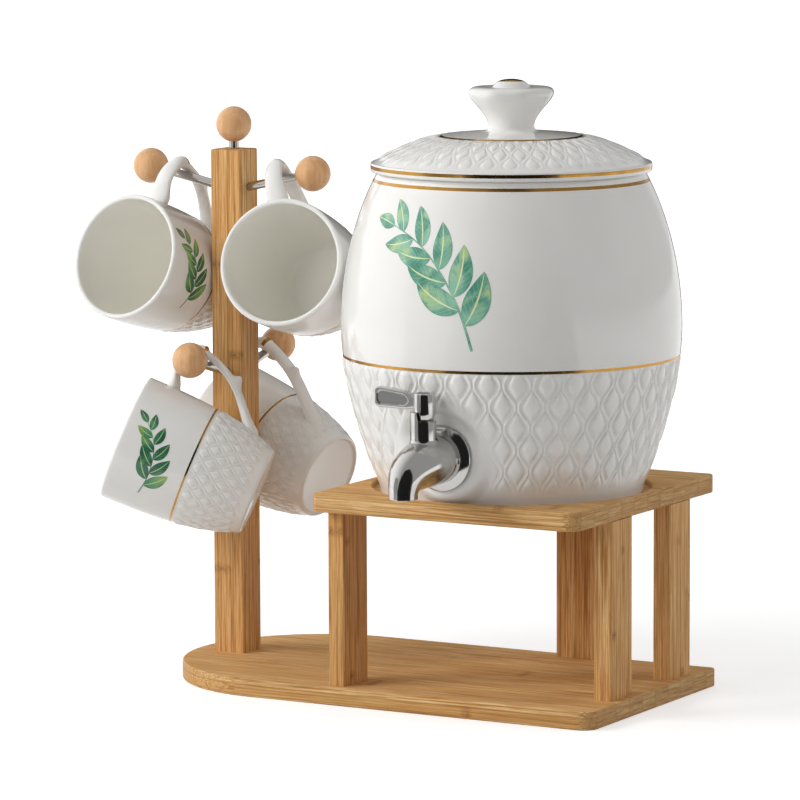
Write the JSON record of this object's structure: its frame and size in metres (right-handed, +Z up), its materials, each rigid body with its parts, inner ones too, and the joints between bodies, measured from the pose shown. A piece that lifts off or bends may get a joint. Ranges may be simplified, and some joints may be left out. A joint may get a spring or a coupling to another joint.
{
  "type": "clay water pot with tap",
  "caption": "Lidded porcelain water pot with a lever tap, raised on a bamboo stand whose post carries hanging mugs.",
  "frame": {"origin": "the foot of the pot's axis, on the surface the stand rests on", "axes": "+Z up; the tap faces -Y; the mug tree stands on the -X side"},
  "size_m": [0.4337, 0.2695, 0.4129],
  "materials": {
    "bamboo": "laminated bamboo strips under a thin clear varnish",
    "light_wood": "turned and sanded smooth, satin varnish",
    "porcelain": "glazed white porcelain with gold lines, opaque",
    "polished_steel": "polished bright",
    "tap_chrome": "mirror polished",
    "screw_steel": "plain steel, dark in the slot",
    "rubber": "soft white silicone"
  },
  "bodies": {
    "stand": {"base_board": "bamboo", "stand_top": "bamboo", "front_left_leg": "bamboo", "front_right_leg": "bamboo", "back_right_leg": "bamboo", "back_leg": "bamboo", "mug_post": "bamboo", "top_dowels": "light_wood", "leg_screws": "screw_steel", "post_screws": "screw_steel", "top_stem": "polished_steel", "top_ball": "light_wood", "upper_left_peg": "polished_steel", "upper_left_ball": "light_wood", "upper_right_peg": "polished_steel", "upper_right_ball": "light_wood", "lower_front_peg": "polished_steel", "lower_front_ball": "light_wood", "lower_back_peg": "polished_steel", "lower_back_ball": "light_wood"},
    "pot": {"pot_body": "porcelain", "tap_body": "tap_chrome", "tap_flange": "tap_chrome", "outer_washer": "rubber", "inner_washer": "rubber", "lock_nut": "tap_chrome", "valve_seal": "rubber"},
    "lid": {"lid": "porcelain"},
    "lever": {"tap_lever": "tap_chrome", "valve_plug": "tap_chrome", "lever_screw": "screw_steel"},
    "upper_left_mug": {"upper_left_mug": "porcelain"},
    "upper_right_mug": {"upper_right_mug": "porcelain"},
    "lower_front_mug": {"lower_front_mug": "porcelain"},
    "lower_back_mug": {"lower_back_mug": "porcelain"}
  },
  "joints": [
    {"name": "pot_lift", "type": "slide", "parent": "stand", "child": "pot", "axis": [0, 0, 1], "range_m": [0, 0.05]},
    {"name": "lid_lift", "type": "slide", "parent": "pot", "child": "lid", "axis": [0, 0, 1], "range_m": [0, 0.1]},
    {"name": "lever_turn", "type": "hinge", "parent": "pot", "child": "lever", "pos_m": [0, -0.1207, 0.2], "axis": [0, 0, 1], "range_deg": [0, 90]},
    {"name": "upper_left_mug_swing", "type": "hinge", "parent": "stand", "child": "upper_left_mug", "pos_m": [-0.2589, 0.0065, 0.33952], "axis": [-0.9781, 0, 0.2079], "range_deg": [-15, 15]},
    {"name": "upper_right_mug_swing", "type": "hinge", "parent": "stand", "child": "upper_right_mug", "pos_m": [-0.1789, 0.0065, 0.33909], "axis": [0.9781, 0, 0.2079], "range_deg": [-15, 8]},
    {"name": "lower_front_mug_swing", "type": "hinge", "parent": "stand", "child": "lower_front_mug", "pos_m": [-0.2179, -0.0339, 0.21468], "axis": [0, -0.9659, 0.2588], "range_deg": [-15, 15]},
    {"name": "lower_back_mug_swing", "type": "hinge", "parent": "stand", "child": "lower_back_mug", "pos_m": [-0.2179, 0.0465, 0.21457], "axis": [0, 0.9659, 0.2588], "range_deg": [-15, 15]}
  ]
}
